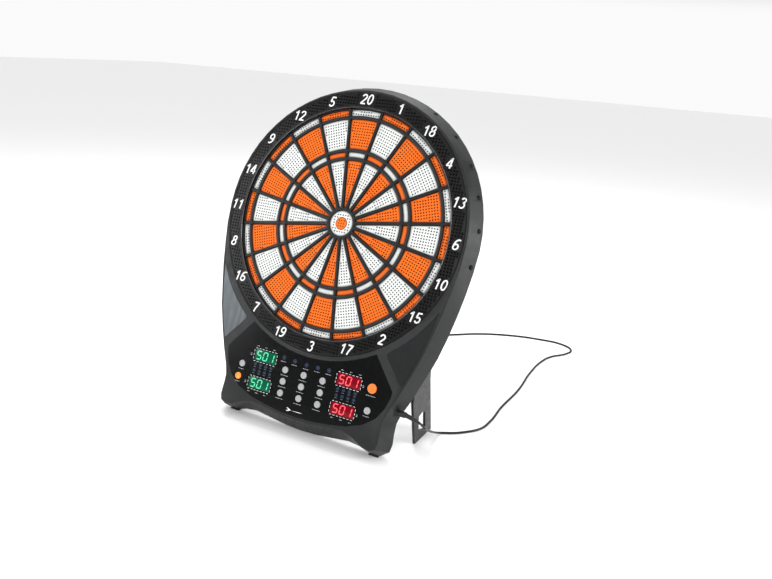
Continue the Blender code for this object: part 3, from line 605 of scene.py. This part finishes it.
def make_adapter():
    """Two moulded halves with a joint line between them, two blade pins, and a ribbed strain relief."""
    width, length, height = ADAPTER_SIZE
    x, y = ADAPTER
    split, joint, corner = height * 0.62, 0.5, 6.0
    adapter = Solid()
    adapter.plate(rectangle(ADAPTER, (width, length), corner, 6), [], height + 0.1, split, 3.0)
    waist = rectangle(ADAPTER, (width - 0.8, length - 0.8), corner - 0.4, 6)
    adapter.plate(waist, [], split, split - joint)
    lower = Solid()
    lower.plate(rectangle((x, -y), (width, length), corner, 6), [], -0.1, joint - split, 3.0)
    flip = Matrix.Rotation(pi, 4, "X")
    adapter.add([tuple(flip @ Vector(point)) for point in lower.points], lower.faces)
    label = rectangle((x, y + 4.0), (width - 14.0, length - 26.0), 2.0, 4)
    adapter.plate(label, [shifted_left(label, 0.8)], height + 0.3, height - 1.0, 0.1, 0.1)
    back = y + length / 2
    reach = RELIEF_TIP - back
    tail = [(0.0, reach)]
    for rib in range(RELIEF_RIBS):
        low = reach * (1.0 - (rib + 1) / RELIEF_RIBS)
        high = reach * (1.0 - rib / RELIEF_RIBS)
        radius = 2.4 + 2.1 * (1.0 - high / reach)
        tail += [(radius, high - 0.2), (radius + 0.15, low + 1.2), (radius - 0.5, low + 0.9), (radius - 0.5, low)]
    tail.append((0.0, -1.0))
    droop = Matrix.Translation((x, back, 8.0)) @ Matrix.Rotation(radians(-90.0 - RELIEF_DROOP), 4, "X")
    adapter.lathe(tail, 24, droop)
    turn = Matrix.Translation((0.0, y - length / 2, 0.0)) @ Matrix.Rotation(radians(90.0), 4, "X")
    for side in (-1, 1):
        pin = Solid()
        pin.plate(rectangle((x + side * 6.3, height / 2), (1.5, 6.3), 0.5, 3), [], 18.0, -2.0, 0.4)
        adapter.add([tuple(turn @ Vector(point)) for point in pin.points], pin.faces, 1)
    return adapter.object(
        "mains_adapter", [M["black_plastic"], M["steel"]], "board", "black_plastic", FLOOR, replaced=["adapter"]
    )


cord = make_cord()
tie = make_tie()
adapter = make_adapter()


# ---------------------------------------------------------------- playing surface


def perforation(inner, outer, spread):
    """Round holes on a square grid along the number's own axis, clear of the key's edges."""
    margin = spread + KEY_SKIRT + HOLE_R + HOLE_EDGE + 0.1
    holes = []
    half = radians(SECTOR / 2)
    columns = ceil(outer * sin(half) / HOLE_PITCH)
    for row in range(ceil((inner + margin) / HOLE_PITCH) - 1, int(outer / HOLE_PITCH) + 1):
        y = row * HOLE_PITCH
        for column in range(-columns, columns + 1):
            x = column * HOLE_PITCH
            radius = hypot(x, y)
            clear = y * sin(half) - abs(x) * cos(half)
            if inner + margin < radius < outer - margin and clear > margin:
                holes.append(circle(HOLE_R, 8, (x, y), 22.5))
    return holes


def bed_solid():
    """The four keys of one number, perforated and hollow below, on the flange that joins them."""
    bed = Solid()
    wall = WALL / 2 + KEY_GAP
    outlines = bed_outlines(KEY_GAP)
    for band, ((inner, outer), outline) in enumerate(zip(BANDS, outlines)):
        holes = perforation(inner, outer, wall)
        skirt = (KEY_SKIRT, KEY_BOTTOM + 0.3)
        bed.plate(outline, holes, KEY_TOP, KEY_TOP - KEY_PLATE, KEY_EDGE, HOLE_EDGE, skirt, band % 2)
    flange = cell(BULL_RING + 3.2, SPIDER_R - 1.8, 0.6)
    lofts = [shifted_left(outline if area(outline) > 0 else outline[::-1], KEY_SKIRT) for outline in outlines]
    bed.plate(flange, lofts, FLANGE_TOP, KEY_BOTTOM)
    return bed


def make_keys():
    for start, (single, ringed) in enumerate((("orange_key", "white_key"), ("white_key", "orange_key"))):
        bed = bed_solid()
        mesh = bpy.data.meshes.new(f"bed_{single}")
        mesh.from_pydata([tuple(Vector(point) * MM) for point in bed.points], [], bed.faces)
        mesh.materials.append(M[single])
        mesh.materials.append(M[ringed])
        mesh.polygons.foreach_set("material_index", bed.kinds)
        for index in range(start, len(NUMBERS), 2):
            number = NUMBERS[index]
            key = bpy.data.objects.new(f"keys_{number}", mesh)
            bpy.context.scene.collection.objects.link(key)
            key.matrix_world = BOARD @ Matrix.Rotation(radians(-SECTOR * index), 4, "Z")
            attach(key, f"bed_{number}")
            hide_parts(f"bed_{number}")
        mesh.shade_smooth()
        mesh.set_sharp_from_angle(angle=radians(35.0))


def bull_holes(inner, outer):
    """Round holes whose centres lie between two distances from the bull's centre."""
    reach = range(-ceil(outer / HOLE_PITCH), ceil(outer / HOLE_PITCH) + 1)
    places = [(column * HOLE_PITCH, row * HOLE_PITCH) for row in reach for column in reach]
    return [circle(HOLE_R, 8, place, 22.5) for place in places if inner < hypot(*place) < outer]


def make_bulls():
    outer = Solid()
    holes = [circle(OUTER_BULL_IN, 48)] + bull_holes(OUTER_BULL_IN + HOLE_R + 0.9, OUTER_BULL_R - HOLE_R - 1.3)
    skirt = (BULL_SKIRT, KEY_BOTTOM)
    outer.plate(circle(OUTER_BULL_R, 64), holes, KEY_TOP, KEY_TOP - KEY_PLATE, BULL_EDGE, HOLE_EDGE, skirt)
    outer.object("key_outer_bull", [M["white_key"]], "bull_outer", "white_key", replaced=["bull_outer"])
    inner = Solid()
    holes = bull_holes(-1.0, INNER_BULL_R - HOLE_R - 1.3)
    top = KEY_TOP + 0.4
    inner.plate(circle(INNER_BULL_R, 48), holes, top, top - KEY_PLATE, BULL_EDGE, 0.0, skirt)
    inner.object("key_inner_bull", [M["orange_key"]], "bull_inner", "orange_key", replaced=["bull_inner"])


def make_spider():
    cells = [circle(OUTER_BULL_R + KEY_GAP, 64)]
    for index in range(len(NUMBERS)):
        cells += [turned_about_bull(outline, -SECTOR * index) for outline in bed_outlines(0.0)]
    spider = Solid()
    spider.plate(circle(SPIDER_R, 180), cells, 0.0, -SPIDER_DEPTH, 0.6, 0.7)
    spider.object("spider_frame", [M["spider"]], "board", "spider", replaced=["spider"])


# ---------------------------------------------------------------- catch ring and numbers


def number_places():
    return [(str(number), *polar(NUMBER_R, 90.0 - SECTOR * index)) for index, number in enumerate(NUMBERS)]


def make_ring():
    """A plate pierced by small square holes, on a deep inner wall and a shallow outer one."""
    reach = int(RING_OUT / RING_PITCH) + 1
    holes = []
    places = number_places()
    for row in range(-reach, reach + 1):
        for column in range(-reach, reach + 1):
            x, y = (column + 0.5) * RING_PITCH, (row + 0.5) * RING_PITCH
            covered = any(
                abs(x - px) < 5.3 * len(text) + 1.0 and abs(y - py) < DIGIT_HEIGHT / 2 + 1.4
                for text, px, py in places
            )
            if RING_IN + 4.2 < hypot(x, y) < RING_OUT - 3.6 and not covered:
                holes.append(rectangle((x, y), (RING_PITCH / 2, RING_PITCH / 2)))
    ring = Solid()
    opening = circle(RING_IN + 2.0, 180)
    ring.plate(circle(RING_OUT, 180), [opening] + holes, RING_TOP, RING_TOP - 1.6, 0.5, 0.0, (2.0, RING_TOP - 6.5))
    wall = (
        (RING_IN + 2.0, RING_TOP - 0.3), (RING_IN + 2.0, -SPIDER_DEPTH), (RING_IN, -SPIDER_DEPTH),
        (RING_IN, RING_TOP - 1.0), (RING_IN + 1.0, RING_TOP + 0.2), (RING_IN + 1.6, RING_TOP + 0.3),
    )
    ring.lathe(wall, 180, closed=True)
    bead = (
        (RING_IN - 0.15, RING_TOP - 1.6), (RING_IN + 0.1, RING_TOP - 0.5), (RING_IN + 0.7, RING_TOP + 0.3),
        (RING_IN + 1.7, RING_TOP + 0.45), (RING_IN + 1.9, RING_TOP - 1.6),
    )
    ring.lathe(bead, 180, kind=1, closed=True)
    lip = (
        (RING_OUT - 0.2, RING_TOP), (RING_OUT - 0.2, RING_TOP - 0.6), (RING_OUT - 1.6, RING_TOP - 0.6),
        (RING_OUT - 1.6, RING_TOP), (RING_OUT - 1.2, RING_TOP + 0.4), (RING_OUT - 0.6, RING_TOP + 0.4),
    )
    ring.lathe(lip, 180, closed=True)
    ring.object("number_ring", [M["ring"], M["ring_lip"]], "board", "ring", replaced=["catch_ring"])


def arc(centre, radii, first, last, steps=14):
    """Points along an ellipse from one angle to another."""
    angles = [radians(first + (last - first) * step / steps) for step in range(steps + 1)]
    return [(centre[0] + radii[0] * cos(angle), centre[1] + radii[1] * sin(angle)) for angle in angles]


# Each digit's strokes, in a cell one unit high and DIGIT_WIDTH wide
STROKE_WIDTH = 0.14
DIGIT_WIDTH = 0.58
DIGIT_ADVANCE = 0.70
DIGIT_LEAN = 0.20
LOOP_STEPS = 24
SIX = (arc((0.30, 0.295), (0.235, 0.245), 0, 345, LOOP_STEPS), arc((0.425, 0.38), (0.36, 0.575), 180, 66))
STROKES = {
    "0": (arc((0.29, 0.5), (0.235, 0.45), 0, 345, LOOP_STEPS),),
    "1": (((0.36, 1.0), (0.36, 0.0)), ((0.11, 0.74), (0.24, 0.82), (0.36, 0.96))),
    "2": (arc((0.285, 0.715), (0.23, 0.235), 170, -35) + [(0.08, 0.09)], ((0.03, 0.05), (0.555, 0.05))),
    "3": (arc((0.27, 0.735), (0.205, 0.215), 155, -90), arc((0.27, 0.275), (0.235, 0.245), 90, -158)),
    "4": (((0.42, 0.0), (0.42, 1.0)), ((0.41, 0.96), (0.04, 0.31)), ((0.0, 0.27), (0.58, 0.27))),
    "5": (
        ((0.12, 0.95), (0.54, 0.95)),
        ((0.155, 0.95), (0.10, 0.50)),
        arc((0.28, 0.30), (0.235, 0.255), 135, -158),
    ),
    "6": SIX,
    "7": (((0.03, 0.95), (0.57, 0.95)), ((0.53, 0.93), (0.37, 0.62), (0.26, 0.32), (0.21, 0.0))),
    "8": (
        arc((0.29, 0.74), (0.195, 0.205), 0, 345, LOOP_STEPS),
        arc((0.29, 0.275), (0.235, 0.24), 0, 345, LOOP_STEPS),
    ),
    "9": tuple([(DIGIT_WIDTH - x, 1.0 - y) for x, y in stroke] for stroke in SIX),
}


def pen_stroke(solid, line, width, top, bottom):
    """A raised band along some points. A line of a whole loop's points is closed up."""
    line = [Vector(point) for point in line]
    closed = len(line) > LOOP_STEPS
    count = len(line)
    points = []
    for index, point in enumerate(line):
        before = line[index - 1] if index or closed else point
        after = line[(index + 1) % count] if index + 1 < count or closed else point
        along = (after - before).normalized()
        across = Vector((-along.y, along.x)) * width / 2
        left, right = point + across, point - across
        points += [(*left, top), (*right, top), (*right, bottom), (*left, bottom)]
    faces = []
    for index in range(count if closed else count - 1):
        here, there = 4 * index, 4 * ((index + 1) % count)
        faces += [[here + side, here + (side + 1) % 4, there + (side + 1) % 4, there + side] for side in range(4)]
    if not closed:
        last = 4 * (count - 1)
        faces += [[3, 2, 1, 0], [last, last + 1, last + 2, last + 3]]
    solid.add(points, faces)


def make_numbers():
    """Raised white numbers that lean a little, upright all round the ring."""
    numbers = Solid()
    for text, x, y in number_places():
        for place, digit in enumerate(text):
            shift = (place - len(text) / 2) * DIGIT_ADVANCE + (DIGIT_ADVANCE - DIGIT_WIDTH) / 2
            for stroke in STROKES[digit]:
                line = [
                    (x + DIGIT_HEIGHT * (px + shift + DIGIT_LEAN * (py - 0.5)), y + DIGIT_HEIGHT * (py - 0.5))
                    for px, py in stroke
                ]
                pen_stroke(numbers, line, STROKE_WIDTH * DIGIT_HEIGHT, RING_TOP + 0.4, RING_TOP - 0.4)
    numbers.object("ring_numbers", [M["white_print"]], "board")


# ---------------------------------------------------------------- control panel


def segment_outlines(x, y, width, height, thick, lit):
    """Outlines of a seven-segment digit's lit bars, leaning a little."""
    half_w, half_h = width / 2, height / 2
    nib = thick / 2
    bars = {
        "a": ((-half_w, half_h), (half_w, half_h)),
        "b": ((half_w, half_h), (half_w, 0)),
        "c": ((half_w, 0), (half_w, -half_h)),
        "d": ((-half_w, -half_h), (half_w, -half_h)),
        "e": ((-half_w, 0), (-half_w, -half_h)),
        "f": ((-half_w, half_h), (-half_w, 0)),
        "g": ((-half_w, 0), (half_w, 0)),
    }
    made = []
    for name in lit:
        start, end = (Vector(point) for point in bars[name])
        along = (end - start).normalized()
        across = Vector((-along.y, along.x)) * nib
        a, b = start + along * 0.25, end - along * 0.25
        left, right = a + along * nib, b - along * nib
        ring = [a, left + across, right + across, b, right - across, left - across]
        made.append([(x + point.x + SEGMENT_LEAN * point.y, y + point.y) for point in ring])
    return made


SEGMENT_LEAN = 0.10
DIGIT_BARS = {"5": "afgcd", "0": "abcdef", "1": "bc"}
DIGIT_SLOTS = (-11.8, -0.6, 10.6)
SHOWN = "501"


def make_readouts():
    for side, place, colour in ((-1, "left", "green"), (1, "right", "red")):
        lit = Solid()
        for row in DISPLAY_ROWS:
            for slot, digit in zip(DIGIT_SLOTS, SHOWN):
                for outline in segment_outlines(side * DISPLAY_X + slot, row, 7.0, 12.2, 1.7, DIGIT_BARS[digit]):
                    lit.plate(outline, [], DISPLAY_TOP + 0.12, DISPLAY_TOP + 0.02)
        lit.object(f"digits_{place}", [M[f"{colour}_segment"]], "board", f"{colour}_display")


def printed(solid, outline, holes=()):
    """A mark that lies on the overlay."""
    solid.plate(outline, holes, OVERLAY_TOP + PRINT, OVERLAY_TOP + 0.01)


def dash(solid, x, y, width, height=0.9):
    printed(solid, rectangle((x, y), (width, height), min(width, height) * 0.3, 2))


def label(solid, x, y, width, rows=1):
    """A printed caption drawn as a row of small strokes, with no letters."""
    lengths = (2.0, 1.2, 2.6, 1.6, 2.2, 1.1, 2.9)
    for row in range(rows):
        start = x - width / 2
        index = int(abs(x) + abs(y)) % len(lengths)
        while start < x + width / 2 - 0.6:
            length = min(lengths[index % len(lengths)], x + width / 2 - start)
            dash(solid, start + length / 2, y - row * 2.2, length)
            start += length + 0.7
            index += 1


def target_icon(solid, x, y, radius):
    """A small ring round a disc."""
    for outer, inner in ((radius, radius * 0.74), (radius * 0.46, 0.0)):
        holes = [circle(inner, 20, (x, y))] if inner else []
        printed(solid, circle(outer, 20, (x, y)), holes)


def make_prints():
    """Frames round the displays, captions, icons and a plain dart mark, in four kinds of ink."""
    white, caption, dim, blue = Solid(), Solid(), Solid(), Solid()
    for side in (-1, 1):
        for row in DISPLAY_ROWS:
            for edge in (-1, 1):
                for step in range(7):
                    dash(white, side * DISPLAY_X - 17.4 + 5.8 * step, row + edge * 9.9, 3.4, 0.55)
                for step in range(3):
                    dash(white, side * DISPLAY_X + edge * 20.6, row - 5.4 + 5.4 * step, 0.55, 3.2)
        for mark in range(3):
            across = side * (DISPLAY_X + 15.8 - 14.6 * mark)
            label(caption, across, DISPLAY_ROWS[0] + 13.4, 4.4)
            label(caption, across, DISPLAY_ROWS[1] - 13.9, 4.4)
        for row in DISPLAY_ROWS:
            label(caption, side * 97.6, row, 3.6, 2)
        for column in range(4):
            for y in (-234.2, -243.4):
                x = side * (DISPLAY_X - 14.4 + 9.6 * column)
                target_icon(blue, x, y, 2.5)
                dash(dim, x, y - 4.1, 4.2, 0.6)
    for step, x in enumerate((-40.0, -20.4, 0.0, 19.4, 38.4)):
        y = -212.6 - 0.9 * (2 - abs(step - 2))
        target_icon(blue, x, y, 3.1)
        label(caption, x, y - 6.0, 9.0)
    for y in BUTTON_ROWS.values():
        for x in BUTTON_COLUMNS.values():
            label(caption, x, y - 8.4, 13.0)
    label(caption, -110.5, -247.0, 10.0)
    label(caption, -112.9, -266.6, 9.0)
    label(caption, 111.3, -230.8, 15.0)
    label(caption, 111.3, -260.2, 10.0)
    shaft = [(-9.5, -284.8), (4.5, -283.9), (11.0, -284.4), (4.5, -284.9)]
    printed(white, shaft)
    for lean in (-1, 1):
        flight = [(-9.0, -284.5), (-14.4, -284.5 + lean * 2.4), (-17.6, -284.5 + lean * 2.4), (-13.0, -284.5)]
        printed(white, flight)
    white.object("panel_prints", [M["white_print"]], "board")
    caption.object("panel_captions", [M["caption_print"]], "board")
    dim.object("panel_small_prints", [M["dim_print"]], "board")
    blue.object("panel_icons", [M["blue_print"]], "board")


def make_buttons():
    places = [
        (f"button_{row}_{column}", x, y, SMALL_BUTTON, "grey_button")
        for row, y in BUTTON_ROWS.items()
        for column, x in BUTTON_COLUMNS.items()
    ]
    places += [
        ("button_side_left", -110.5, -238.5, SMALL_BUTTON, "grey_button"),
        ("button_power", -112.9, -258.4, SMALL_BUTTON, "lit_button"),
        ("button_start", 111.3, -220.2, LARGE_BUTTON, "orange_button"),
        ("button_side_right", 111.3, -252.0, SMALL_BUTTON, "grey_button"),
    ]
    for name, x, y, radius, material in places:
        button = Solid()
        profile = [(0.0, BUTTON_TOP - 0.45), (radius * 0.45, BUTTON_TOP - 0.36), (radius * 0.72, BUTTON_TOP - 0.06)]
        rim = radius - 1.0
        profile += [(rim + sin(radians(a)), BUTTON_TOP - 1.0 + cos(radians(a))) for a in (0, 22, 45, 67, 90)]
        profile += [(radius, 0.6), (radius + 1.2, 0.6), (radius + 1.2, -1.0), (radius - 1.0, -1.0), (0.0, -2.1)]
        button.lathe(profile, 40, Matrix.Translation((x, y, 0.0)))
        slot = "grey_button" if material == "grey_button" else "orange_button"
        button.object(f"{name}_cap", [M[material]], name, slot, replaced=[name])


# ---------------------------------------------------------------- casing details


def make_dart_sleeves():
    """Cups that line the dart holes, cut off along the casing's slope."""
    sleeves = Solid()
    profile = (
        (3.2, 0.0), (3.5, 0.35), (4.0, 0.3), (4.15, -0.2), (4.15, -14.0), (0.0, -14.0), (0.0, -13.0), (3.2, -13.0),
    )
    for angle in DART_ANGLES:
        for bearing in (angle, 180.0 - angle):
            out = Vector((*polar(1.0, bearing), 0.0))
            aside = Vector((*polar(1.0, bearing + 90.0), 0.0))
            up = Vector((0.0, 0.0, 1.0))
            slanted = up - out * CASING_SLOPE
            place = out * DART_RIM_R + up * DART_HOLE_Z
            matrix = Matrix((slanted.to_4d(), aside.to_4d(), out.to_4d(), (0, 0, 0, 1))).transposed()
            matrix.col[3] = (*place, 1.0)
            matrix[3][0] = matrix[3][1] = matrix[3][2] = 0.0
            sleeves.lathe(profile, 28, matrix, closed=True)
    sleeves.object("dart_sleeves", [M["black_plastic"]], "board", "black_plastic")


def dress_frame():
    """Finishes for the frame's own nodes, with softened edges on the moulded ones."""
    looks = {
        "front_housing": "casing", "rear_cover": "casing", "panel_overlay": "overlay", "accent_left": "accent",
        # The right accent insert takes the darker copy of the accent finish, which is painted shade.
        "accent_right": "accent_painted_shade", "display_left": "green_display", "display_right": "red_display",
        "rubber_foot_left": "rubber", "rubber_foot_right": "rubber", "sensor_membrane": "film",
        "backing_mat": "foam", "main_board": "circuit", "button_mat": "rubber", "speaker": "black_plastic",
        "dc_jack": "black_plastic", "dc_plug": "black_plastic", "leg_left": "black_plastic",
        "leg_right": "black_plastic", "cover_screw_left": "steel", "cover_screw_right": "steel",
    }
    softened = {
        "front_housing": 0.35, "rear_cover": 0.35, "leg_left": 0.5, "leg_right": 0.5, "panel_overlay": 0.25,
        "accent_left": 0.25, "accent_right": 0.25, "rubber_foot_left": 0.6, "rubber_foot_right": 0.6,
    }
    for name, look in looks.items():
        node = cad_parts[name]
        node.data.materials.clear()
        node.data.materials.append(M[look])
        weld = node.modifiers.new("weld", "WELD")
        weld.merge_threshold = 0.01 * MM
        if name in softened:
            edges = node.modifiers.new("edges", "BEVEL")
            edges.width = softened[name] * MM
            edges.segments = 2
            edges.limit_method = "ANGLE"
            edges.angle_limit = radians(38.0)
        if name != "rear_cover":
            node.data.shade_smooth()
            smooth = node.modifiers.new("normals", "WEIGHTED_NORMAL")
            smooth.mode = "FACE_AREA_WITH_ANGLE"
            smooth.weight = 100


# ---------------------------------------------------------------- floor


def make_floor():
    mesh = bpy.data.meshes.new("floor")
    corners = [(x, y, 0.0) for x, y in rectangle((0.0, 0.0), (24.0, 24.0))]
    mesh.from_pydata(corners, [], [(0, 1, 2, 3)])
    finish = Finish("floor", (0.93, 0.93, 0.93), 0.7, mottle=0.004, relief=0.02, wear=0.0, uneven=0.05)
    mesh.materials.append(finish.material)
    floor = bpy.data.objects.new("floor", mesh)
    bpy.context.scene.collection.objects.link(floor)


make_keys()
make_bulls()
make_spider()
make_ring()
make_numbers()
make_readouts()
make_prints()
make_buttons()
make_dart_sleeves()
dress_frame()
make_floor()
